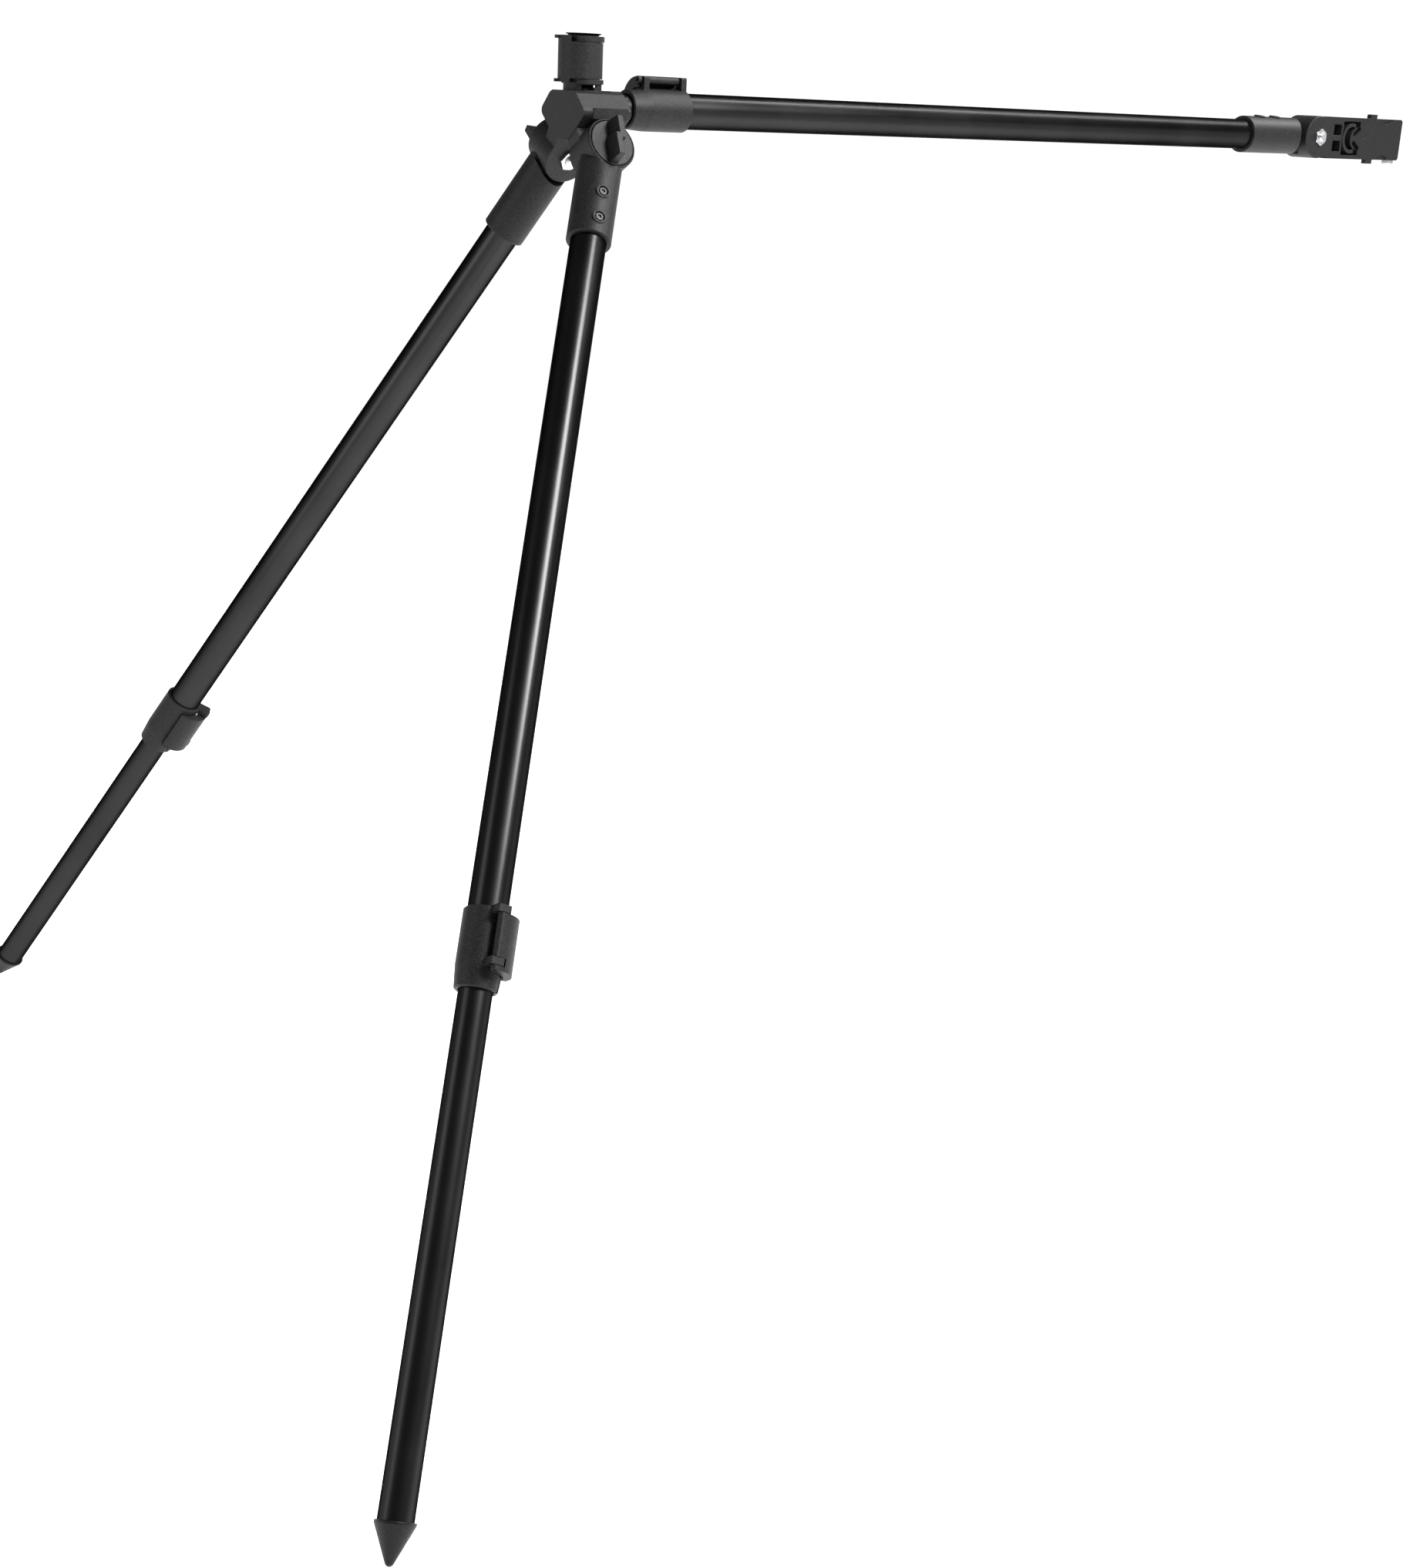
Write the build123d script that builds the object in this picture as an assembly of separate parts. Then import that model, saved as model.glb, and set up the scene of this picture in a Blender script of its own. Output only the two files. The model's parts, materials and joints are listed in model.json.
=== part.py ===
"""Two-legged telescopic support with a telescopic side arm, in millimetres.

Origin: the centre of the socket's floor, on the socket axis.
+X runs out along the arm, +Z is up along the socket, and -Y is the side of the front leg.
The pieces are drawn about the point where the arm axis meets the socket axis, and each is
lowered by the height of the socket's floor as it is saved.
"""

import os
from math import cos, radians, sin

from build123d import *

os.makedirs("parts", exist_ok=True)

# ---- tubes -------------------------------------------------------------------------------
outer_od = 25.0
outer_wall = 1.5
inner_od = 21.0
inner_wall = 1.5

# ---- how the stand is set up -------------------------------------------------------------
leg_splay = 30.0
front_swing = 25.1
back_swing = 19.8
pivot_y = 26.8
pivot_z = -29.0
front_foot_reach = 899.0
back_foot_reach = 868.0
leg_inner_length = 480.0
leg_collar_reach = 550.0
arm_inner_length = 520.0
arm_collar_reach = 86.0
arm_pivot_x = 790.0

# ---- knuckles ----------------------------------------------------------------------------
ear_r = 18.35
hub_ear_t = 13.5
sleeve_ear_t = 14.2
ear_round = 1.2
split_gap = 0.1
swing_gap = 0.4
bolt_d = 8.0
bolt_hole_gap = 0.3
bolt_point = 9.0
stud_head_af = 13.0
stud_head_t = 2.6
stud_head_cover = 0.8
nut_af = 13.0
nut_t = 6.5
nut_pocket_deep = 4.0
thread_gap = 0.05

# ---- knuckle sleeves ---------------------------------------------------------------------
sleeve_wall = 3.1
leg_sleeve_reach = 73.5
leg_sleeve_start = 20.6
arm_sleeve_reach = 92.0
arm_sleeve_start = 28.5
tube_stop_gap = 4.5
screw_pitch = 20.4
leg_screw_first = 41.2
arm_screw_first = 52.0
screw_boss_r = 4.9
screw_boss_rise = 0.8
screw_head_r = 2.9
screw_head_t = 1.7
screw_head_gap = 0.8
leg_screw_angle = 97.0
arm_screw_angle = -8.0
screw_shank_r = 1.5
screw_key_af = 2.5

# ---- hand knobs --------------------------------------------------------------------------
knob_base_r = 16.6
knob_seat_gap = 0.5
knob_seat_deep = 3.5
knob_face_rise = 0.6
knob_handle_length = 31.0
knob_handle_width = 6.6
knob_handle_offset = 1.5
knob_handle_rise = 12.2
knob_handle_draft_rise = 0.08
knob_face_gap = 0.3

# ---- cam collars -------------------------------------------------------------------------
collar_length = 50.0
collar_wall = 2.15
collar_end_wall = 2.6
collar_taper_from = 35.0
tube_depth = 30.0
inner_gap = 0.35
slit_width = 1.5
slit_angle = 45.0
lug_width = 9.4
lug_t = 4.5
lug_above_collar = 8.35
lug_pitch = 32.4
pin_above_collar = 5.75
pin_d = 3.0
lever_pin_gap = 0.08
lever_side_gap = 0.35
lever_hub_r = 2.7
lever_offset = 5.0
lever_above_collar = 3.15
lever_t = 2.4
lever_wrap = 84.0
cheek_t = 2.7
cheek_gap = 0.65
cheek_hole_r = 1.3

# ---- socket on the hub -------------------------------------------------------------------
socket_bore = 19.0
liner_wall = 0.9
socket_wall = 1.6
socket_top = 47.0
socket_bottom = 15.8
socket_floor = 13.0
liner_lip_over = 0.8
liner_lip_rise = 1.9
ring_rise = 2.6
top_ring_t = 3.6
bottom_ring_t = 3.0
ring_from = 164.0
ring_gap_from = 235.0
socket_pin_azimuth = 25.0
socket_pin_rise = 3.3
socket_lug_rise = 2.7
socket_lug_width = 8.0
socket_lever_rise = 3.7
socket_lever_offset = 1.95
socket_lever_inner_rise = 1.9
socket_lever_inner_offset = 1.55
socket_lever_facing = 144.0
socket_lever_wrap = 229.0
socket_tab_wrap = 48.0
socket_tab_over = 0.2
socket_tab_under = 0.7
tab_horn_rise = 8.2
tab_horn_t = 2.2
tab_horn_wrap = 9.0
neck_window_top = 15.2
neck_window_low = 11.6
neck_window_deep_r = 8.0
neck_hole_r = 1.1
neck_hole_offset = 8.1
neck_hole_z = 14.4

# ---- hub ---------------------------------------------------------------------------------
hub_back = 16.0
hub_front = 24.0
hub_top = 11.2
hub_top_half = 17.0
hub_side_half = 27.0
hub_side_top = -0.8
hub_side_low = -4.6
hub_waist_half = 17.8
hub_waist_z = -13.2
hub_bottom_z = -21.5
neck_rise = 1.4
spigot_length = 42.0
spigot_gap = 0.0
hub_round = 3.6
hub_end_round = 1.0
pad_rise = 0.5

# ---- feet --------------------------------------------------------------------------------
foot_rim_r = 11.9
foot_rim_t = 1.6
foot_cone = 22.0
foot_tip_r = 1.6
foot_stem = 26.0

# ---- clamp on the arm's end --------------------------------------------------------------
clamp_width = 27.0
clamp_half_height = 18.2
clamp_neck_from = 14.0
clamp_neck_to = 46.0
clamp_end = 119.0
pocket_from = 19.6
pocket_to = 30.6
pocket_half = 2.3
pocket_top = 11.8
pocket_deep = 9.0
clamp_ring_x = 46.0
clamp_ring_r = 13.2
clamp_ring_t = 3.0
nose_x = 53.0
nose_r = 9.6
nose_proud = 0.8
lobe_x = 61.8
lobe_z = 18.2
lobe_r = 18.4
lobe_from = 57.0
bump_width = 9.0
bump_deep = 4.6
bump_rise = 3.6
relief_length = 12.5
relief_width = 4.4
relief_deep = 7.0
relief_x = 52.5
relief_z = 6.4
relief_tilt = 35.0
scallop_r = 12.3
scallop_half_z = 26.0
scallop_x = 95.0
scallop_deep = 1.8
clamp_pin_x = 112.6
clamp_pin_side = 7.0
clamp_pin_d = 6.0
clamp_pin_head_r = 5.2
clamp_pin_head_t = 3.6

outer_r = outer_od / 2
outer_bore_r = outer_r - outer_wall
inner_r = inner_od / 2
inner_bore_r = inner_r - inner_wall
collar_r = outer_r + collar_wall
lug_top = collar_r + lug_above_collar
pin_height = collar_r + pin_above_collar
lever_r = collar_r + lever_above_collar
bolt_r = bolt_d / 2
pin_r = pin_d / 2
socket_bore_r = socket_bore / 2
socket_hole_r = socket_bore_r + liner_wall
socket_outer_r = socket_hole_r + socket_wall
liner_lip_r = socket_outer_r + liner_lip_over
neck_r = socket_outer_r + neck_rise
socket_pin_height = socket_outer_r + socket_pin_rise
socket_lever_r = socket_outer_r + socket_lever_rise
socket_lever_inner_r = socket_outer_r + socket_lever_inner_rise
tab_horn_r = socket_outer_r + tab_horn_rise


def save(solid, name):
    placed = Location((0, 0, -socket_floor)) * solid
    placed.label = name
    export_step(placed, "parts/" + name + ".step")


def along_x(radius, start, end):
    """Solid round bar on the X axis from start to end."""
    bar = Cylinder(radius, end - start, align=(Align.CENTER, Align.CENTER, Align.MIN))
    return Location((start, 0, 0)) * Rotation(0, 90, 0) * bar


def along_z(radius, start, end, x=0.0, y=0.0):
    """Solid round bar parallel to Z from start to end."""
    bar = Cylinder(radius, end - start, align=(Align.CENTER, Align.CENTER, Align.MIN))
    return Location((x, y, start)) * bar


def block(x0, x1, y0, y1, z0, z1):
    box = Box(x1 - x0, y1 - y0, z1 - z0)
    return Location(((x0 + x1) / 2, (y0 + y1) / 2, (z0 + z1) / 2)) * box


def turned(points):
    """Solid of revolution about the X axis from (x, radius) points."""
    face = make_face(Plane.XZ * Polyline([(x, r) for x, r in points], close=True))
    return revolve(face, Axis.X)


def hexagon_bar(across_flats, start, end):
    """Hexagonal bar parallel to Z, with a pair of flats facing +X and -X."""
    outline = RegularPolygon(across_flats / 2, 6, major_radius=False, rotation=30)
    return extrude(Plane.XY.offset(start) * outline, end - start)


def tube_x(radius, wall, start, end):
    return along_x(radius, start, end) - along_x(radius - wall, start - 1, end + 1)


def sector(reach, start, end):
    """Wedge with its point on the axis, from one angle round to another."""
    corners = [(0, 0)]
    for step in range(13):
        angle = radians(start + (end - start) * step / 12)
        corners.append((reach * cos(angle), reach * sin(angle)))
    return make_face(Polyline(corners, close=True))


def leg_direction(side, swing):
    """Unit vector down one leg; side is -1 for the front leg and +1 for the back leg."""
    splay = radians(leg_splay)
    swing = radians(swing)
    return (-sin(swing), side * cos(swing) * sin(splay), -cos(swing) * cos(splay))


def hinge_direction(side):
    """Unit vector along a leg's hinge, out of the hub and towards the hand knob."""
    splay = radians(leg_splay)
    return (0, side * cos(splay), sin(splay))


def leg_frame(side, swing):
    """X runs down the leg, Z runs out along the hinge, origin on the split of the knuckle."""
    origin = (0, side * pivot_y, pivot_z)
    return Plane(origin=origin, x_dir=leg_direction(side, swing), z_dir=hinge_direction(side))


def hub_ear_frame(side):
    """The same hinge, with X straight down the splayed face and not swung."""
    origin = (0, side * pivot_y, pivot_z)
    return Plane(origin=origin, x_dir=leg_direction(side, 0), z_dir=hinge_direction(side))


def arm_end_frame():
    """X runs back along the arm, Z runs out along the hinge to the hand knob."""
    return Plane(origin=(arm_pivot_x, 0, 0), x_dir=(-1, 0, 0), z_dir=(0, 1, 0))


def turn_about_x(plane, angle, shift):
    """A frame moved along its X by shift and turned about X by angle degrees."""
    return Plane(plane.location * Location((shift, 0, 0)) * Rotation(angle, 0, 0))


# ---- knuckle pieces, built with the hinge on Z and the tube on X ---------------------------



def nut_side_cuts():
    cut = along_z(bolt_r + bolt_hole_gap, -hub_ear_t - 1, 1)
    return cut + hexagon_bar(nut_af, -hub_ear_t - 6, -hub_ear_t + nut_pocket_deep)


def knuckle_nut():
    low = -hub_ear_t + nut_pocket_deep - nut_t
    nut = hexagon_bar(nut_af, low, low + nut_t)
    rounding = Location((0, 0, low)) * Cone(
        nut_af * 0.5 + nut_t * 1.9, nut_af * 0.5, nut_t * 1.9,
        align=(Align.CENTER, Align.CENTER, Align.MIN),
    )
    nut = nut & (along_z(nut_af, low - 1, low + nut_t + 1))
    crown = Location((0, 0, low)) * Cone(
        nut_af * 0.52, nut_af * 0.52 + nut_t * 1.7, nut_t,
        align=(Align.CENTER, Align.CENTER, Align.MIN),
    )
    nut = nut & crown
    return nut - along_z(bolt_r, low - 1, low + nut_t + 1)


def knuckle_bolt():
    """Threaded stud whose hexagon head is moulded into the hand knob."""
    low = -hub_ear_t - bolt_point + nut_pocket_deep
    top = sleeve_ear_t + knob_face_rise - stud_head_cover
    shank = along_z(bolt_r - thread_gap, low, top)
    tip = Location((0, 0, low)) * Cone(
        bolt_r - 1.0, bolt_r - thread_gap, 1.0, align=(Align.CENTER, Align.CENTER, Align.MIN)
    )
    shank = along_z(bolt_r - thread_gap, low + 1.0, top) + tip
    return shank + hexagon_bar(stud_head_af, top - stud_head_t, top)


def handle_half(bottom, height, upper):
    """One half of the knob's stepped bar, drafted and reaching past the middle."""
    past = knob_handle_offset * 2
    start = -knob_handle_length / 2 if upper else -past
    end = past if upper else knob_handle_length / 2
    middle = knob_handle_offset if upper else -knob_handle_offset
    draft = knob_handle_draft_rise * height
    foot = Location(((start + end) / 2, middle, bottom))
    top = Location(((start + end) / 2, middle, bottom + height))
    bar = loft([
        foot * Rectangle(end - start, knob_handle_width),
        top * Rectangle(end - start - 2 * draft, knob_handle_width - 2 * draft),
    ])
    return fillet(bar.edges().group_by(Axis.Z)[-1], 0.6)


def knuckle_knob(turn):
    """Hand knob with a stepped bar, seated in the recess of the sleeve's ear."""
    seat = sleeve_ear_t - knob_seat_deep + knob_face_gap
    face = sleeve_ear_t + knob_face_rise
    base = along_z(knob_base_r, seat, face)
    base = fillet(base.edges().group_by(Axis.Z)[-1], 1.0)
    low = face - 1.0
    high = knob_handle_rise + 1.0
    bar = handle_half(low, high, True) + handle_half(low, high, False)
    return base + Rotation(0, 0, turn) * bar - knuckle_bolt()


def screw_holes(first, angle, wall_r):
    """Counterbores and shank holes for the two tube screws."""
    cut = None
    for step in range(2):
        hole = along_z(screw_shank_r, 0, 30) + along_z(
            screw_head_r + screw_head_gap, wall_r + screw_boss_rise - screw_head_t, 30
        )
        hole = Location((first + step * screw_pitch, 0, 0)) * hole
        cut = hole if cut is None else cut + hole
    return Rotation(angle - 90, 0, 0) * cut


def screw_bosses(first, angle, wall_r):
    bosses = None
    for step in range(2):
        boss = along_z(screw_boss_r, 0, wall_r + screw_boss_rise)
        boss = fillet(boss.edges().group_by(Axis.Z)[-1], 0.3)
        boss = Location((first + step * screw_pitch, 0, 0)) * boss
        bosses = boss if bosses is None else bosses + boss
    return Rotation(angle - 90, 0, 0) * bosses


def sleeve_screws(first, angle):
    """Two socket-head screws that pin the tube in its sleeve, kept as separate solids."""
    wall_r = outer_r + sleeve_wall
    screws = []
    for step in range(2):
        top = wall_r + screw_boss_rise - 0.2
        low = wall_r + screw_boss_rise - screw_head_t
        head = along_z(screw_head_r, low, top)
        head = fillet(head.edges().group_by(Axis.Z)[-1], 0.5)
        shank = along_z(screw_shank_r, outer_bore_r, low + 0.1)
        screw = head + shank - hexagon_bar(screw_key_af, top - 1.1, top + 1)
        screw = Location((first + step * screw_pitch, 0, 0)) * screw
        screws.append(Rotation(angle - 90, 0, 0) * screw)
    return screws


def knuckle_sleeve(reach, start, first, angle):
    """Sleeve for a tube end with the knob-side ear moulded on."""
    wall_r = outer_r + sleeve_wall
    ear = along_z(ear_r, 0, sleeve_ear_t)
    ear = fillet(ear.edges().group_by(Axis.Z)[-1], ear_round)
    barrel = along_x(wall_r, 0, reach)
    barrel = fillet(barrel.edges().group_by(Axis.X)[-1], 0.9)
    low_side = block(-40, reach + 1, -30, 30, -30, 0)
    barrel = barrel - (low_side & along_z(start, -30, 0))
    high_side = along_z(ear_r + 0.6, sleeve_ear_t, 40)
    barrel = barrel - high_side
    neck = block(0, start + 3, -wall_r, wall_r, 0, sleeve_ear_t)
    neck = neck & (along_z(start + 3, 0, sleeve_ear_t))
    barrel = barrel + (neck & along_x(wall_r, -1, reach))
    sleeve = ear + barrel + (screw_bosses(first, angle, wall_r) & along_x(40, 0, reach))
    sleeve = sleeve - along_x(outer_r, start + tube_stop_gap, reach + 1)
    sleeve = sleeve - along_x(outer_bore_r - 1.5, start + 1.0, reach)
    sleeve = sleeve - along_z(bolt_r + bolt_hole_gap, -1, sleeve_ear_t + 1)
    sleeve = sleeve - along_z(
        knob_base_r + knob_seat_gap, sleeve_ear_t - knob_seat_deep, sleeve_ear_t + 20
    )
    return sleeve - screw_holes(first, angle, wall_r)


# ---- cam collars, built with the tube on X and the lever pin towards +Z --------------------
def lug(start, thick, width, top):
    body = block(start, start + thick, -width / 2, width / 2, 0, top)
    return fillet(body.edges().filter_by(Axis.X).group_by(Axis.Z)[-1], 1.2)


def lever_pin(start, end, height):
    return Location((0, 0, height)) * along_x(pin_r, start + 0.4, end - 0.4)


def ring_part(outer, shift, inner, inner_shift, start, end):
    """Ring with its two circles shifted towards the pin, kept between two angles."""
    ring = Location((shift, 0)) * Circle(outer) - Location((inner_shift, 0)) * Circle(inner)
    return ring & sector(outer * 3, start, end)


def to_collar(sketch, start, length):
    """Stand a sketch drawn from the pin's side across the tube and thicken it along X."""
    plane = Plane(origin=(start, 0, 0), x_dir=(0, 0, 1), z_dir=(-1, 0, 0))
    return extrude(plane * sketch, -length)


def lever_hub(start, end, height):
    bore = Location((0, 0, height)) * along_x(pin_r + lever_pin_gap, start - 1, end + 1)
    return Location((0, 0, height)) * along_x(lever_hub_r, start, end) - bore


def lever():
    """Curved lever with its hub on the pin between the lugs and a cheek at each end."""
    bar_from = lug_t + lever_side_gap
    bar_to = lug_pitch - lever_side_gap
    near_cheek = bar_from
    far_cheek = lug_pitch + lug_t + lever_side_gap
    inner = lever_r - lever_t
    profile = ring_part(lever_r, lever_offset, inner, lever_offset, 0, lever_wrap)
    shell = to_collar(profile, bar_from, far_cheek + cheek_t - bar_from)
    clear = lug_width / 2 + 1.2
    shell = shell - block(bar_to, far_cheek, -30, clear, 0, 60)
    side_view = ring_part(lever_r, lever_offset, collar_r + cheek_gap, 0, 0, lever_wrap)
    cheeks = to_collar(side_view, near_cheek, cheek_t)
    cheeks = cheeks + to_collar(side_view, far_cheek, cheek_t)
    ends = Location((0, 0, pin_height)) * along_x(lever_hub_r, far_cheek, far_cheek + cheek_t)
    whole = lever_hub(bar_from, bar_to, pin_height) + shell + cheeks + ends
    whole = whole - Location((0, 0, pin_height)) * along_x(
        pin_r + lever_pin_gap, near_cheek - 1, bar_to + 1
    )
    return whole - Location((0, 0, pin_height)) * along_x(
        cheek_hole_r, far_cheek - 1, far_cheek + cheek_t + 1
    )


def collar():
    """Split collar fixed on the outer tube; its narrow end closes on the inner tube."""
    bore = inner_r + inner_gap
    end_r = bore + collar_end_wall
    body = turned(
        [
            (0, outer_r),
            (0, collar_r - 0.7),
            (0.7, collar_r),
            (collar_taper_from, collar_r),
            (collar_length - 0.9, end_r),
            (collar_length, end_r - 0.9),
            (collar_length, bore),
            (tube_depth, bore),
            (tube_depth, outer_r),
        ]
    )
    lugs = lug(0, lug_t, lug_width, lug_top) + lug(lug_pitch, lug_t, lug_width, lug_top)
    lugs = lugs - along_x(outer_r + 0.6, -1, collar_length)
    body = body + lugs
    slit = block(
        tube_depth + 1.5, collar_length + 1, -slit_width / 2, slit_width / 2, bore - 1, 30
    )
    body = body - Rotation(-slit_angle, 0, 0) * slit
    return body - lever_pin(0, lug_pitch + lug_t, pin_height)


# ---- hub -----------------------------------------------------------------------------------
def hub_section():
    half = [
        (hub_top_half, hub_top - 1.6),
        (hub_side_half, hub_side_top),
        (hub_side_half, hub_side_low),
        (hub_waist_half, hub_waist_z),
        (6.8, hub_bottom_z),
    ]
    left = [(-y, z) for y, z in reversed(half)]
    top = [(-hub_top_half + 3.5, hub_top), (hub_top_half - 3.5, hub_top)]
    return left + top + half


def hub_ear(side):
    """Ear for one leg with the slab that carries it up into the body."""
    slab = block(-26, 0, -hub_back + 0.6, hub_back - 0.6, -hub_ear_t, -split_gap)
    ear = along_z(ear_r, -hub_ear_t, -split_gap)
    ear = fillet(ear.edges().group_by(Axis.Z)[0], 0.8)
    return hub_ear_frame(side).location * (ear + slab)


def socket_frame():
    """X runs down from the socket's rim; Z points at the lever pin."""
    azimuth = radians(socket_pin_azimuth)
    return Plane(
        origin=(0, 0, socket_top), x_dir=(0, 0, -1), z_dir=(cos(azimuth), sin(azimuth), 0)
    )


def socket_parts_span():
    """Distances from the rim to the lever's hub: past the top ring and up to the bottom one."""
    height = socket_top - socket_bottom
    return top_ring_t + lever_side_gap, height - bottom_ring_t - lever_side_gap


def socket_lugs():
    height = socket_top - socket_bottom
    top = socket_pin_height + socket_lug_rise
    pair = lug(0, top_ring_t, socket_lug_width, top)
    pair = pair + lug(height - bottom_ring_t, bottom_ring_t, socket_lug_width, top)
    return pair - along_x(socket_hole_r + 0.5, -5, 60)


def socket_rings():
    """Rings at the top and bottom of the socket, left open where the lever's tab lies."""
    height = socket_top - socket_bottom
    outer = socket_outer_r + ring_rise
    front = ring_part(outer, 0, socket_hole_r + 0.3, 0, -20, ring_from)
    back = ring_part(outer, 0, socket_hole_r + 0.3, 0, ring_gap_from, 345)
    rings = None
    for start, thick in ((0, top_ring_t), (height - bottom_ring_t, bottom_ring_t)):
        for sketch in (front, back):
            ring = to_collar(sketch, start, thick)
            rings = ring if rings is None else rings + ring
    return rings


def socket_lever():
    """Curved lever round the front of the socket, hinged at the back, with a wide tab."""
    bar_from, bar_to = socket_parts_span()
    height = socket_top - socket_bottom
    facing = radians(socket_pin_azimuth - socket_lever_facing)
    outer = Location((
        socket_lever_offset * cos(facing), socket_lever_offset * sin(facing)
    )) * Circle(socket_lever_r)
    inner = Location((
        socket_lever_inner_offset * cos(facing), socket_lever_inner_offset * sin(facing)
    )) * Circle(socket_lever_inner_r)
    plate = (outer - inner) & sector(60, 0, socket_lever_wrap)
    tab_from = socket_lever_wrap - socket_tab_wrap
    tab = (outer - inner) & sector(60, tab_from, socket_lever_wrap)
    horn = Circle(tab_horn_r) - inner
    horn = horn & sector(60, socket_lever_wrap - tab_horn_wrap, socket_lever_wrap)
    body = to_collar(plate, bar_from, bar_to - bar_from)
    tab_top = -socket_tab_over
    tab_low = height - socket_tab_under
    body = body + to_collar(tab, tab_top, tab_low - tab_top)
    body = body + to_collar(horn, tab_top, tab_horn_t)
    body = body + to_collar(horn, tab_low - tab_horn_t, tab_horn_t)
    body = body + Location((0, 0, socket_pin_height)) * along_x(lever_hub_r, bar_from, bar_to)
    return body - Location((0, 0, socket_pin_height)) * along_x(
        pin_r + lever_pin_gap, bar_from - 1, bar_to + 1
    )


def neck_windows():
    """Openings under the socket's bottom ring, and a small hole right through the neck."""
    front = -127.0
    low = neck_window_low
    deep = Circle(30) - Circle(neck_window_deep_r)
    wide = extrude(Plane.XY.offset(low) * (deep & sector(80, front, front + 42)),
                   neck_window_top - low)
    shallow = extrude(Plane.XY.offset(socket_floor + 0.6) * (deep & sector(80, front, front + 52)),
                      neck_window_top - socket_floor - 0.6)
    hole = Location((0, -neck_hole_offset, neck_hole_z)) * along_x(neck_hole_r, -40, 40)
    return wide + shallow + Rotation(0, 0, front + 180) * hole


def hub_pads():
    """Flat raised pads on the hub's front face and on its top beside the socket."""
    front = block(-8, hub_front - 3.2, -hub_side_half - pad_rise, -20, hub_side_low - 2.2, 0.5)
    top = block(14.5, hub_front - 1.4, -14.0, -2.0, hub_top - 2, hub_top + pad_rise)
    return top + fillet(front.edges().filter_by(Axis.Y), 0.8)


def hub_body():
    wire = Plane.YZ.offset(-hub_back) * Polyline(hub_section(), close=True)
    body = extrude(make_face(wire), hub_back + hub_front, dir=(1, 0, 0))
    end_edges = body.edges().filter_by(Axis.X)
    body = fillet(end_edges.filter_by(lambda e: abs(e.center().Y) > hub_top_half - 4.0
                                      and e.center().Z > hub_side_low - 1), hub_round)
    body = fillet(body.faces().sort_by(Axis.X)[-1].edges(), hub_end_round)
    body = body + hub_pads() + hub_ear(-1) + hub_ear(1)
    neck = along_z(neck_r, 0, socket_bottom + 1)
    socket = along_z(socket_outer_r, socket_bottom, socket_top)
    body = body + neck + socket
    frame = socket_frame().location
    body = body + frame * (socket_lugs() + mirror(socket_rings(), Plane.XZ))
    body = body - along_z(socket_hole_r, socket_bottom, socket_top + 1)
    body = body - along_z(socket_bore_r, socket_floor, socket_top)
    height = socket_top - socket_bottom
    pin_cut = lever_pin(0, height, socket_pin_height)
    slit = block(-1, height, -slit_width / 2, slit_width / 2, 5, 30)
    body = body - frame * pin_cut - frame * (Rotation(slit_angle, 0, 0) * slit)
    body = body - neck_windows()
    body = body + along_x(inner_bore_r - spigot_gap, hub_front - 1, hub_front + spigot_length)
    for side in (-1, 1):
        swept = along_z(ear_r + swing_gap, -split_gap, sleeve_ear_t + 2)
        body = body - hub_ear_frame(side).location * (nut_side_cuts() + swept)
    return body


def socket_liner():
    """Thin lipped bush between the socket and the post it receives."""
    lip = Location((0, 0, socket_top + 0.5)) * Cone(
        socket_hole_r, liner_lip_r, liner_lip_rise - 0.5, align=(Align.CENTER, Align.CENTER, Align.MIN)
    )
    bush = along_z(socket_hole_r, socket_bottom, socket_top + 0.6) + lip
    bush = bush - along_z(socket_bore_r, socket_bottom - 1, socket_top + 10)
    frame = socket_frame().location
    slit = block(-10, 60, -slit_width / 2, slit_width / 2, 5, 30)
    return bush - frame * (Rotation(slit_angle, 0, 0) * slit)


# ---- feet ----------------------------------------------------------------------------------
def foot():
    """Pointed plug: stem inside the tube, rim against its end, then the cone."""
    return turned(
        [
            (-foot_stem, 0),
            (-foot_stem, inner_bore_r - 1.0),
            (-foot_stem + 1.0, inner_bore_r),
            (0, inner_bore_r),
            (0, foot_rim_r - 0.4),
            (0.4, foot_rim_r),
            (foot_rim_t, foot_rim_r),
            (foot_rim_t + foot_cone - 1.0, foot_tip_r + 0.6),
            (foot_rim_t + foot_cone, foot_tip_r * 0.6),
            (foot_rim_t + foot_cone, 0),
        ]
    )


# ---- clamp on the arm's end, hinge on Z, arm towards +X, so the clamp runs towards -X --------
def clamp_nose(grow):
    """Round nose of the insert, across the clamp."""
    half = clamp_width / 2 + nose_proud
    return along_z(nose_r + grow, -half, half - 2 * nose_proud, x=-nose_x)


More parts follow.
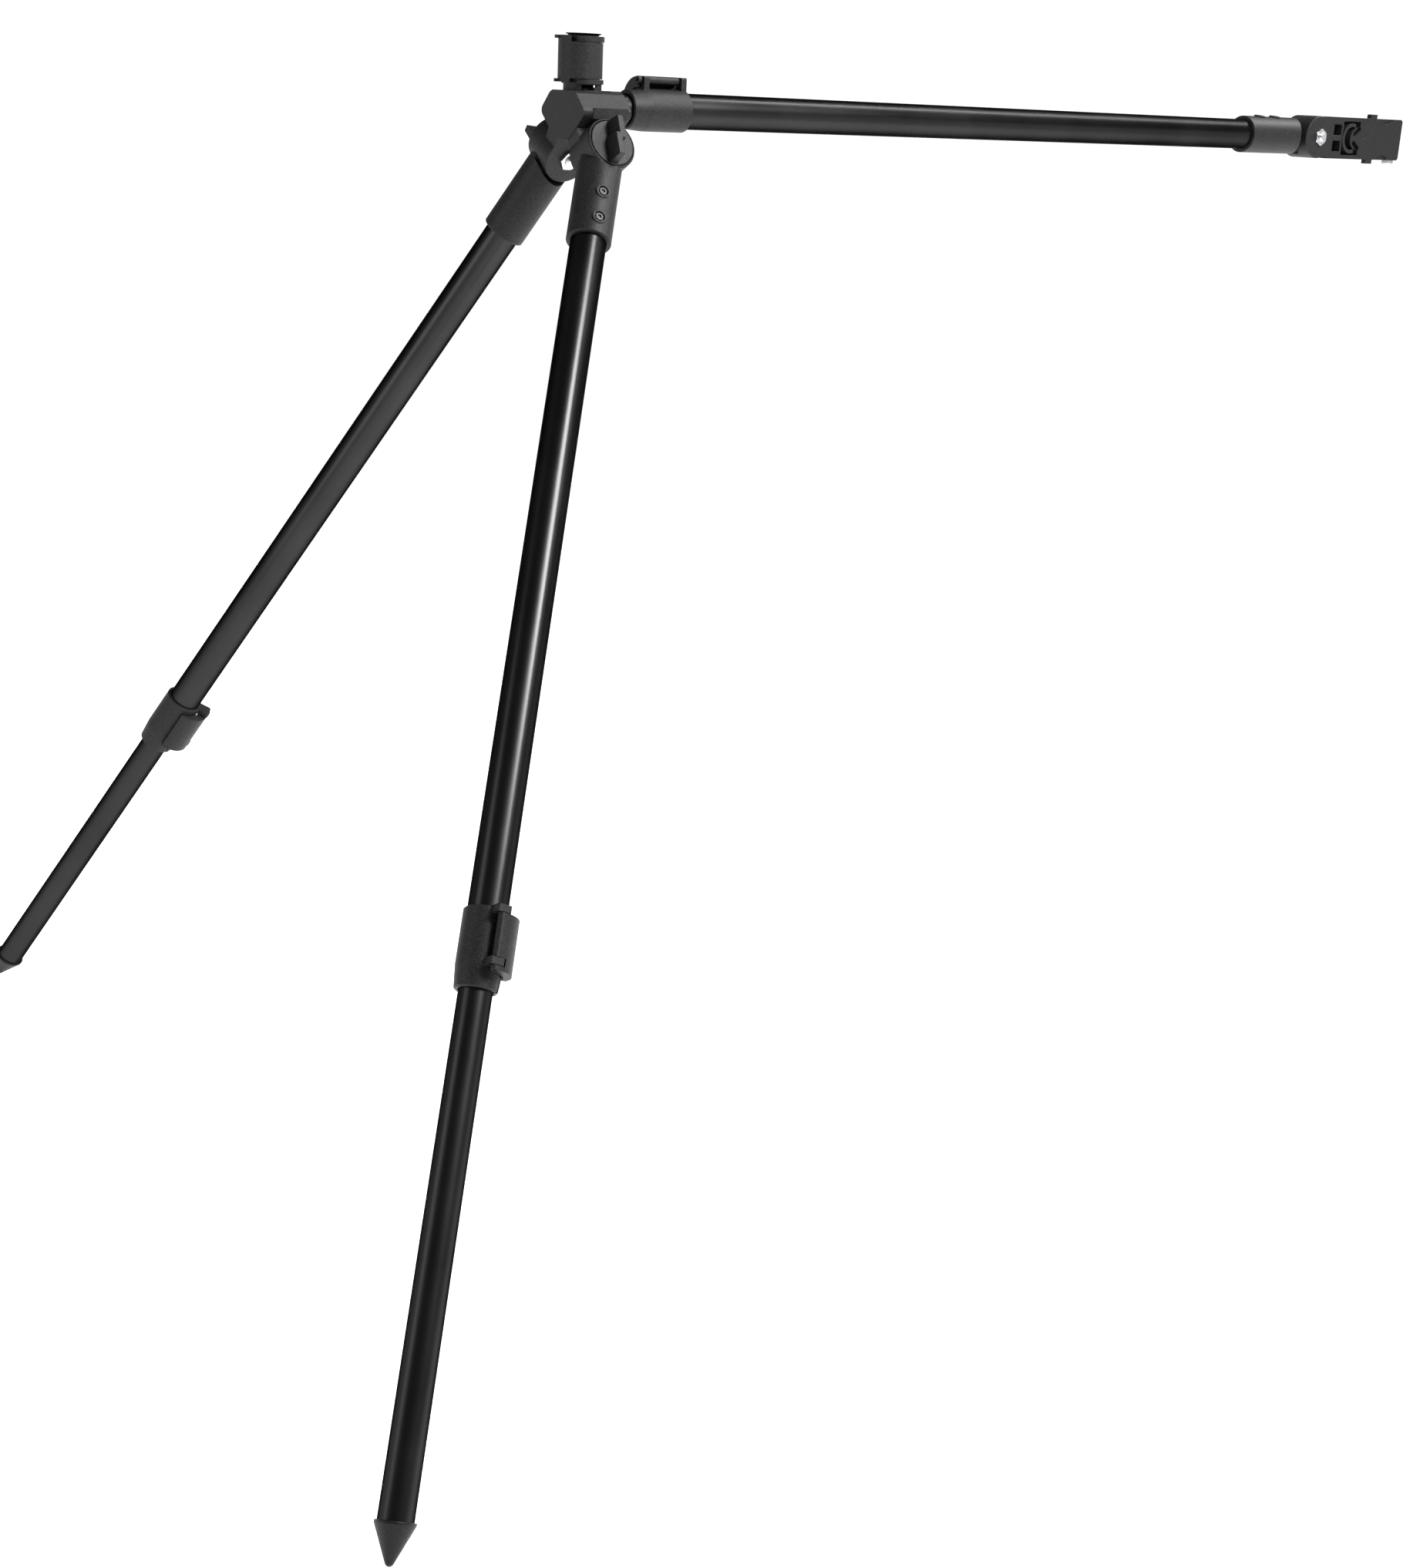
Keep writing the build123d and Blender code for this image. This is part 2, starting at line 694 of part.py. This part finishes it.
def clamp_body():
    """Ear, pocketed neck and the C-shaped seat of the end clamp."""
    half = clamp_width / 2
    high = clamp_half_height
    ear = along_z(ear_r, -hub_ear_t, -split_gap)
    ear = fillet(ear.edges().group_by(Axis.Z)[0], ear_round)
    neck = block(-clamp_neck_to, -clamp_neck_from, -high, high, -half, half)
    neck = neck - along_z(ear_r + 1.2, -split_gap, half + 1)
    link = block(-clamp_neck_from - 10, 0, -high + 1, high - 1, -hub_ear_t, -split_gap)
    body = ear + neck + link
    for low, top in ((pocket_half, pocket_top), (-pocket_top, -pocket_half)):
        window = block(-pocket_to, -pocket_from, low, top, -half - 1, -half + pocket_deep)
        body = body - window
    flanges = block(-lobe_from, -clamp_neck_to + 1, -high, high, -half, half)
    hollow = block(-lobe_from - 1, -pocket_to - 2.4, -high + 3.4, high - 3.4, -half - 1, half + 1)
    body = body + flanges - hollow
    ring = along_z(clamp_ring_r, -half - 0.6, half - 0.6, x=-clamp_ring_x)
    ring = ring & block(-clamp_ring_x - 4.0, 0, -high + 1, high - 1, -40, 40)
    body = body + ring
    body = body - along_z(clamp_ring_r - clamp_ring_t, -half - 2, half + 2, x=-clamp_ring_x)
    body = body - block(-clamp_end, -lobe_from, -40, 40, -40, 40) - clamp_nose(0)
    return body - nut_side_cuts()


def clamp_lobes():
    """Two quarter-round lobes, one above the other, that fill the middle of the clamp."""
    half = clamp_width / 2
    high = clamp_half_height
    lobes = None
    for up in (-1, 1):
        lobe = Location((-lobe_x, up * lobe_z, -half)) * Cylinder(
            lobe_r, 2 * half, align=(Align.CENTER, Align.CENTER, Align.MIN)
        )
        lobe = lobe & block(-clamp_end, -lobe_from, min(0, up * high), max(0, up * high), -40, 40)
        lobes = lobe if lobes is None else lobes + lobe
    return lobes


def clamp_saddle():
    """Insert between the seat and the end block: a round nose, two lobes and two bumps."""
    half = clamp_width / 2
    body = clamp_lobes() + clamp_nose(0)
    right = -lobe_x - lobe_r
    high = clamp_half_height + bump_rise
    bump = block(right, right + bump_width, -high, high, -half, -half + bump_deep)
    body = body + (bump - block(right - 5, 0, -clamp_half_height, clamp_half_height, -40, 40))
    for up in (-1, 1):
        slot = SlotOverall(relief_length, relief_width, rotation=-up * relief_tilt)
        cut = extrude(Plane.XY.offset(-half - 3) * slot, relief_deep + 3)
        body = body - Location((-relief_x, up * relief_z, 0)) * cut
    return body


def clamp_jaw():
    """End block closed on the insert, with two shallow scoops and the pin's hole."""
    half = clamp_width / 2
    high = clamp_half_height
    body = block(-clamp_end, -lobe_x, -high, high, -half, half)
    body = chamfer(body.edges().filter_by(Axis.Z).group_by(Axis.X)[0], 1.8)
    body = body - clamp_lobes() - block(-lobe_x - 2.0, 0, -40, 40, -40, 40)
    for up in (-1, 1):
        scoop = along_z(
            scallop_r, -half - 4, -half + scallop_deep, x=-scallop_x, y=up * scallop_half_z
        )
        body = body - scoop
    hole = Rotation(90, 0, 0) * along_z(clamp_pin_d / 2, -40, 40)
    return body - Location((-clamp_pin_x, 0, -clamp_pin_side)) * hole


def clamp_pin():
    """Round-headed pin up through the end block, head below."""
    high = clamp_half_height
    pin = along_z(clamp_pin_d / 2, -high, high - 1.0)
    head = along_z(clamp_pin_head_r, -high - clamp_pin_head_t, -high)
    head = fillet(head.edges().group_by(Axis.Z)[0], 1.4)
    pin = pin + head
    return Location((-clamp_pin_x, 0, -clamp_pin_side)) * Rotation(-90, 0, 0) * pin


# ---- assembly ------------------------------------------------------------------------------
def build_hub():
    save(hub_body(), "hub_body")
    save(socket_liner(), "socket_liner")
    frame = socket_frame().location
    height = socket_top - socket_bottom
    save(frame * lever_pin(0, height, socket_pin_height), "socket_lever_pin")
    save(frame * mirror(socket_lever(), Plane.XZ), "socket_lever")
    for side, name in ((-1, "front"), (1, "back")):
        save(hub_ear_frame(side).location * knuckle_nut(), name + "_leg_nut")
    save(tube_x(inner_r, inner_wall, hub_front, hub_front + arm_inner_length), "arm_inner_tube")


def build_collar(frame, name, side):
    ring = collar()
    arm = lever()
    save(frame.location * (ring if side > 0 else mirror(ring, Plane.XZ)), name + "_collar")
    save(frame.location * lever_pin(0, lug_pitch + lug_t, pin_height), name + "_lever_pin")
    save(frame.location * (arm if side > 0 else mirror(arm, Plane.XZ)), name + "_lever")


def build_sleeve_end(place, name, reach, start, first, angle, turn):
    sleeve = knuckle_sleeve(reach, start, first, angle)
    save(place * sleeve, name + "_sleeve")
    screws = [place * screw for screw in sleeve_screws(first, angle)]
    save(Compound(children=screws), name + "_screws")
    save(place * knuckle_knob(turn), name + "_knob")
    save(place * knuckle_bolt(), name + "_bolt")


def build_leg(side, swing, name, foot_reach, pin_angle, wrap_side, turn):
    frame = leg_frame(side, swing)
    place = frame.location
    build_sleeve_end(
        place, name, leg_sleeve_reach, leg_sleeve_start, leg_screw_first, leg_screw_angle, turn
    )
    tube_from = leg_sleeve_start + tube_stop_gap
    tube_to = leg_collar_reach + tube_depth
    tube = tube_x(outer_r, outer_wall, tube_from, tube_to)
    tube = tube - screw_holes(leg_screw_first, leg_screw_angle, outer_r + sleeve_wall)
    save(place * tube, name + "_outer_tube")
    build_collar(turn_about_x(frame, pin_angle - 90, leg_collar_reach), name, wrap_side)
    inner = tube_x(inner_r, inner_wall, foot_reach - leg_inner_length, foot_reach)
    save(place * inner, name + "_inner_tube")
    save(place * Location((foot_reach, 0, 0)) * foot(), name + "_foot")


def build_arm():
    end = arm_end_frame()
    build_sleeve_end(
        end.location, "arm", arm_sleeve_reach, arm_sleeve_start, arm_screw_first,
        arm_screw_angle, 20
    )
    tube_from = arm_collar_reach - tube_depth
    tube_to = arm_pivot_x - arm_sleeve_start - tube_stop_gap
    tube = tube_x(outer_r, outer_wall, tube_from, tube_to)
    holes = screw_holes(arm_screw_first, arm_screw_angle, outer_r + sleeve_wall)
    save(tube - end.location * holes, "arm_outer_tube")
    base = Plane(origin=(arm_collar_reach, 0, 0), x_dir=(-1, 0, 0), z_dir=(0, 0, 1))
    build_collar(base, "arm", -1)


def build_clamp():
    place = arm_end_frame().location
    save(place * clamp_body(), "clamp_body")
    save(place * knuckle_nut(), "clamp_nut")
    save(place * clamp_saddle(), "clamp_saddle")
    save(place * clamp_jaw(), "clamp_jaw")
    save(place * clamp_pin(), "clamp_pin")


build_hub()
build_leg(-1, front_swing, "front", front_foot_reach, 88, 1, 18)
build_leg(1, back_swing, "back", back_foot_reach, -150, -1, 76)
build_arm()
build_clamp()
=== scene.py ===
import json
import math

import bpy
from mathutils import Euler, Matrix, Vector


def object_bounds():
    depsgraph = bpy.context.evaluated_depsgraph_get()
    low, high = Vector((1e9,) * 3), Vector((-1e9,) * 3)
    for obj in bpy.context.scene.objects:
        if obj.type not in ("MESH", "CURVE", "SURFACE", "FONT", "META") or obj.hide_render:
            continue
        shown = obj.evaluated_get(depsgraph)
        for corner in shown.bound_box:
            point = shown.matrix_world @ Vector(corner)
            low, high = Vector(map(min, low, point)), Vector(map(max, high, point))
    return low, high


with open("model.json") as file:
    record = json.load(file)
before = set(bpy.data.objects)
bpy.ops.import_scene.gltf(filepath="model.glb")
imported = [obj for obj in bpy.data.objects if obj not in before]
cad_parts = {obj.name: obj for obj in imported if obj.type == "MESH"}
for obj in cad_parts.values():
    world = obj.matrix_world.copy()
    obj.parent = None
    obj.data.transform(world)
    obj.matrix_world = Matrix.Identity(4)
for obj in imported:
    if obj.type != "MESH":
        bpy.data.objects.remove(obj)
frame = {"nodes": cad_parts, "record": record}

CAD_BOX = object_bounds()
RECORD = frame["record"]
JOINTS = {joint["name"]: joint for joint in RECORD["behaviour"]["joints"]}

# Sizes are in metres.
GRAIN_SIZE = 0.0008           # pitch of the moulded plastic's grain
EDGE_RADIUS = 0.00035         # width over which a moulded edge catches the light
STEEL_EDGE_RADIUS = 0.8 * EDGE_RADIUS
TURNING_MARKS = 1500.0        # machining marks per metre of turned steel

# Moulded plastics: darkest and lightest grey, roughness, and depth of the grain.
MOULDINGS = {
    "black_moulding": (0.0035, 0.0065, 0.50, 1.0),
    "knob_moulding": (0.003, 0.005, 0.44, 1.0),
    "clamp_moulding": (0.003, 0.005, 0.48, 1.0),
    "liner_plastic": (0.002, 0.004, 0.42, 0.5),
    "foot_plastic": (0.002, 0.0035, 0.46, 0.7),
    "screw_steel": (0.012, 0.018, 0.30, 0.3),
}
# Bare steels: colour and roughness.
STEELS = {
    "pin_steel": ((0.46, 0.46, 0.47), 0.34),
    "zinc_steel": ((0.62, 0.62, 0.64), 0.24),
}
OUTER_ROUGHNESS = 0.30
INNER_ROUGHNESS = 0.34

CAMERA_AT = (-0.84536, -1.29233, 0.00181)
CAMERA_TURN = (71.7785, -2.5632, -36.2681)
CAMERA_LENS = 48.34           # millimetres, with the sensor's height below
SENSOR = 36.0
EXPOSURE = 0.1

TABLE_REACH = 2.5             # half the light table's side
TABLE_GLOW = 0.85             # light that comes up through the table
SKY_WHITE_TO = 0.05           # the sky is white up to this height on the unit sphere
SKY_DIM_FROM = 0.20           # and dim from this height
SKY_DIM = 0.12

ARM_TARGET = (0.45, 0.0, 0.0)
LEG_TARGET = (-0.1, -0.15, -0.25)
BOX_MIDDLE = (Vector(CAD_BOX[0]) + Vector(CAD_BOX[1])) / 2
# Soft boxes: name, place, what it faces, width, height and power in watts.
SOFT_BOXES = (
    ("arm_box", (1.75, -0.15, 1.45), ARM_TARGET, 0.22, 1.5, 40.0),
    ("leg_box", (0.62, -1.35, 1.15), LEG_TARGET, 0.4, 0.9, 62.0),
    ("left_box", (-2.1, 0.3, 0.4), BOX_MIDDLE, 0.8, 1.6, 10.0),
)


# ---- node helpers --------------------------------------------------------------------------
def new_material(name):
    """An empty material with one Principled shader."""
    material = bpy.data.materials.new(name)
    material.use_nodes = True
    tree = material.node_tree
    tree.nodes.clear()
    output = tree.nodes.new("ShaderNodeOutputMaterial")
    shader = tree.nodes.new("ShaderNodeBsdfPrincipled")
    tree.links.new(shader.outputs["BSDF"], output.inputs["Surface"])
    return material, tree, shader


def position(tree):
    return tree.nodes.new("ShaderNodeTexCoord").outputs["Object"]


def position_of_sky(tree):
    return tree.nodes.new("ShaderNodeTexCoord").outputs["Generated"]


def stretched(tree, axis, across, along):
    """Coordinates scaled by across at right angles to axis, and by along in its direction."""
    axis = Vector(axis).normalized()
    side = axis.orthogonal().normalized()
    third = axis.cross(side)
    point = position(tree)
    joined = tree.nodes.new("ShaderNodeCombineXYZ")
    for direction, scale, socket in ((side, across, "X"), (third, across, "Y"), (axis, along, "Z")):
        dot = tree.nodes.new("ShaderNodeVectorMath")
        dot.operation = "DOT_PRODUCT"
        dot.inputs[1].default_value = direction * scale
        tree.links.new(point, dot.inputs[0])
        tree.links.new(dot.outputs["Value"], joined.inputs[socket])
    return joined.outputs["Vector"]


def noise(tree, vector, scale, detail=3.0, roughness=0.5):
    node = tree.nodes.new("ShaderNodeTexNoise")
    node.inputs["Scale"].default_value = scale
    node.inputs["Detail"].default_value = detail
    node.inputs["Roughness"].default_value = roughness
    tree.links.new(vector, node.inputs["Vector"])
    return node.outputs["Fac"]


def ranged(tree, value, low, high, to_low, to_high):
    node = tree.nodes.new("ShaderNodeMapRange")
    node.inputs["From Min"].default_value = low
    node.inputs["From Max"].default_value = high
    node.inputs["To Min"].default_value = to_low
    node.inputs["To Max"].default_value = to_high
    tree.links.new(value, node.inputs["Value"])
    return node.outputs["Result"]


def math_node(tree, operation, first, second):
    node = tree.nodes.new("ShaderNodeMath")
    node.operation = operation
    for index, value in enumerate((first, second)):
        if isinstance(value, (int, float)):
            node.inputs[index].default_value = value
        else:
            tree.links.new(value, node.inputs[index])
    return node.outputs["Value"]


def mixed(tree, factor, first, second):
    """Colour between first and second; each is a colour or a socket."""
    node = tree.nodes.new("ShaderNodeMix")
    node.data_type = "RGBA"
    tree.links.new(factor, node.inputs["Factor"])
    for name, value in (("A", first), ("B", second)):
        socket = [s for s in node.inputs if s.name == name and s.type == "RGBA"][0]
        if isinstance(value, (tuple, list)):
            socket.default_value = (*value, 1.0)
        else:
            tree.links.new(value, socket)
    return [s for s in node.outputs if s.type == "RGBA"][0]


def grey(value):
    return (value, value, value)


def edge_mask(tree, radius):
    """1 on worn edges and 0 on flats, with the softened normal that goes with it."""
    bevel = tree.nodes.new("ShaderNodeBevel")
    bevel.samples = 4
    bevel.inputs["Radius"].default_value = radius
    surface = tree.nodes.new("ShaderNodeNewGeometry")
    dot = tree.nodes.new("ShaderNodeVectorMath")
    dot.operation = "DOT_PRODUCT"
    tree.links.new(bevel.outputs["Normal"], dot.inputs[0])
    tree.links.new(surface.outputs["Normal"], dot.inputs[1])
    return ranged(tree, dot.outputs["Value"], 0.995, 0.90, 0.0, 1.0), bevel.outputs["Normal"]


def bumped(tree, shader, heights, normal=None):
    """Chains height fields, each (socket, distance in metres, strength), into the normal."""
    for height, distance, strength in heights:
        node = tree.nodes.new("ShaderNodeBump")
        node.inputs["Distance"].default_value = distance
        node.inputs["Strength"].default_value = strength
        tree.links.new(height, node.inputs["Height"])
        if normal is not None:
            tree.links.new(normal, node.inputs["Normal"])
        normal = node.outputs["Normal"]
    tree.links.new(normal, shader.inputs["Normal"])


# ---- materials -----------------------------------------------------------------------------
def moulding(name, dark, light, rough, grain):
    """Glass-filled black plastic: fine grain, faint flow marks and edges rubbed lighter."""
    material, tree, shader = new_material(name)
    point = position(tree)
    cloud = noise(tree, point, 38.0, 4.0, 0.6)
    fibre = noise(tree, point, 900.0, 3.0, 0.7)
    fine = noise(tree, point, 1.0 / GRAIN_SIZE, 2.0, 0.6)
    wear, soft_normal = edge_mask(tree, EDGE_RADIUS)
    worn = math_node(tree, "MULTIPLY", wear, ranged(tree, cloud, 0.35, 0.7, 0.25, 1.0))
    body = mixed(tree, ranged(tree, cloud, 0.3, 0.7, 0.0, 1.0), grey(dark), grey(light))
    speck = mixed(tree, ranged(tree, fine, 0.42, 0.66, 0.0, 0.8), body, grey(light * 3.6))
    rubbed = mixed(tree, math_node(tree, "MULTIPLY", worn, 0.6), speck, grey(light * 4.0))
    tree.links.new(rubbed, shader.inputs["Base Color"])
    shader.inputs["Specular IOR Level"].default_value = 0.23
    level = ranged(tree, fibre, 0.3, 0.7, rough - 0.05, rough + 0.07)
    tree.links.new(math_node(tree, "SUBTRACT", level, math_node(tree, "MULTIPLY", worn, 0.10)),
                   shader.inputs["Roughness"])
    bumped(tree, shader, (
        (fine, 0.00012, 0.80 * grain),
        (fibre, 0.00010, 0.30 * grain),
        (cloud, 0.0003, 0.06),
    ), soft_normal)
    return material


def anodised(name, axis, rough):
    """Black anodised tube with fine lines along its length and faint sliding marks."""
    material, tree, shader = new_material(name)
    point = position(tree)
    lines = noise(tree, stretched(tree, axis, 2200.0, 12.0), 1.0, 3.0, 0.6)
    scuffs = noise(tree, stretched(tree, axis, 420.0, 9.0), 1.0, 4.0, 0.65)
    cloud = noise(tree, point, 16.0, 4.0, 0.55)
    pits = noise(tree, point, 2600.0, 2.0, 0.5)
    tone = mixed(tree, ranged(tree, cloud, 0.3, 0.7, 0.0, 1.0), grey(0.028), grey(0.034))
    marked = mixed(tree, ranged(tree, scuffs, 0.66, 0.80, 0.0, 0.30), tone, grey(0.06))
    tree.links.new(marked, shader.inputs["Base Color"])
    sheen = ranged(tree, cloud, 0.3, 0.7, rough - 0.02, rough + 0.03)
    scratch = ranged(tree, scuffs, 0.60, 0.80, 0.0, 0.10)
    tree.links.new(math_node(tree, "ADD", sheen, scratch), shader.inputs["Roughness"])
    shader.inputs["Metallic"].default_value = 1.0
    shader.inputs["Specular Tint"].default_value = (*grey(0.25), 1.0)
    bumped(tree, shader, ((lines, 0.00001, 0.20), (pits, 0.00001, 0.15)))
    return material


def steel(name, colour, rough):
    """Plated or turned steel with fine machining marks."""
    material, tree, shader = new_material(name)
    point = position(tree)
    marks = noise(tree, point, TURNING_MARKS, 3.0, 0.7)
    cloud = noise(tree, point, 220.0, 4.0, 0.6)
    wear, soft_normal = edge_mask(tree, STEEL_EDGE_RADIUS)
    tone = mixed(tree, ranged(tree, cloud, 0.3, 0.7, 0.0, 1.0),
                 tuple(c * 0.82 for c in colour), colour)
    tree.links.new(mixed(tree, math_node(tree, "MULTIPLY", wear, 0.5), tone,
                         tuple(min(1.0, c * 1.15) for c in colour)), shader.inputs["Base Color"])
    tree.links.new(ranged(tree, marks, 0.3, 0.7, rough - 0.05, rough + 0.08),
                   shader.inputs["Roughness"])
    shader.inputs["Metallic"].default_value = 1.0
    bumped(tree, shader, ((marks, 0.00002, 0.35), (cloud, 0.00005, 0.15)), soft_normal)
    return material


def slide_axis(body):
    """The direction that a tube runs in, from the joint that slides it."""
    return JOINTS[body + "_extend"]["axis"]


MATERIALS = {}
for finish, sizes in MOULDINGS.items():
    MATERIALS[finish] = moulding(finish, *sizes)
for finish, (colour, rough) in STEELS.items():
    MATERIALS[finish] = steel(finish, colour, rough)
for limb, body in (("front", "front_leg"), ("back", "back_leg"), ("arm", "arm")):
    run = slide_axis(body)
    MATERIALS[limb + "_outer"] = anodised(limb + "_outer_anodised", run, OUTER_ROUGHNESS)
    MATERIALS[limb + "_inner"] = anodised(limb + "_inner_anodised", run, INNER_ROUGHNESS)


def material_for(node, slot):
    """Each limb has its own anodised finish, whose lines run along its tubes."""
    if slot.startswith("black_anodised"):
        limb = node.split("_")[0]
        return MATERIALS[limb + "_" + slot.rsplit("_", 1)[1]]
    return MATERIALS[slot]


for part in RECORD["subparts"]:
    piece = frame["nodes"][part["node"]]
    finish = material_for(part["node"], part["material_slot"])
    for holder in piece.material_slots:
        holder.material = finish


# ---- stage ---------------------------------------------------------------------------------
def floor():
    """A white light table under the feet."""
    low = CAD_BOX[0][2]
    middle = [(CAD_BOX[0][axis] + CAD_BOX[1][axis]) / 2 for axis in (0, 1)]
    mesh = bpy.data.meshes.new("floor")
    corners = [(middle[0] + x * TABLE_REACH, middle[1] + y * TABLE_REACH, low)
               for x, y in ((-1, -1), (1, -1), (1, 1), (-1, 1))]
    mesh.from_pydata(corners, [], [(0, 1, 2, 3)])
    plane = bpy.data.objects.new("floor", mesh)
    bpy.context.scene.collection.objects.link(plane)
    material, tree, shader = new_material("floor_paper")
    speckle = noise(tree, position(tree), 60.0, 3.0, 0.5)
    tree.links.new(mixed(tree, speckle, grey(0.86), grey(0.90)), shader.inputs["Base Color"])
    shader.inputs["Roughness"].default_value = 0.9
    shader.inputs["Specular IOR Level"].default_value = 0.1
    shader.inputs["Emission Color"].default_value = (1.0, 1.0, 1.0, 1.0)
    shader.inputs["Emission Strength"].default_value = TABLE_GLOW
    mesh.materials.append(material)


def soft_box(name, place, target, width, height, power):
    """A rectangular area light that faces target."""
    data = bpy.data.lights.new(name, "AREA")
    data.shape = "RECTANGLE"
    data.size = width
    data.size_y = height
    data.energy = power
    lamp = bpy.data.objects.new(name, data)
    lamp.location = place
    toward = Vector(target) - Vector(place)
    lamp.rotation_euler = toward.to_track_quat("-Z", "Y").to_euler()
    bpy.context.scene.collection.objects.link(lamp)


def studio():
    """White below and round the horizon, dim above, and three soft boxes."""
    world = bpy.data.worlds.new("studio")
    world.use_nodes = True
    tree = world.node_tree
    back = tree.nodes["Background"]
    height = tree.nodes.new("ShaderNodeSeparateXYZ")
    tree.links.new(position_of_sky(tree), height.inputs["Vector"])
    tone = ranged(tree, height.outputs["Z"], SKY_WHITE_TO, SKY_DIM_FROM, 1.0, SKY_DIM)
    tree.links.new(tone, back.inputs["Color"])
    back.inputs["Strength"].default_value = 1.0
    bpy.context.scene.world = world
    for box in SOFT_BOXES:
        soft_box(*box)


def camera():
    """A long lens at the height of the hub, looking down at the feet."""
    data = bpy.data.cameras.new("camera")
    data.sensor_fit = "VERTICAL"
    data.sensor_height = SENSOR
    data.lens = CAMERA_LENS
    data.clip_start = 0.01
    data.clip_end = 60.0
    eye = bpy.data.objects.new("camera", data)
    eye.location = CAMERA_AT
    eye.rotation_euler = Euler([math.radians(turn) for turn in CAMERA_TURN], "XYZ")
    bpy.context.scene.collection.objects.link(eye)
    bpy.context.scene.camera = eye


floor()
studio()
camera()
bpy.context.scene.view_settings.view_transform = "Standard"
bpy.context.scene.view_settings.exposure = EXPOSURE
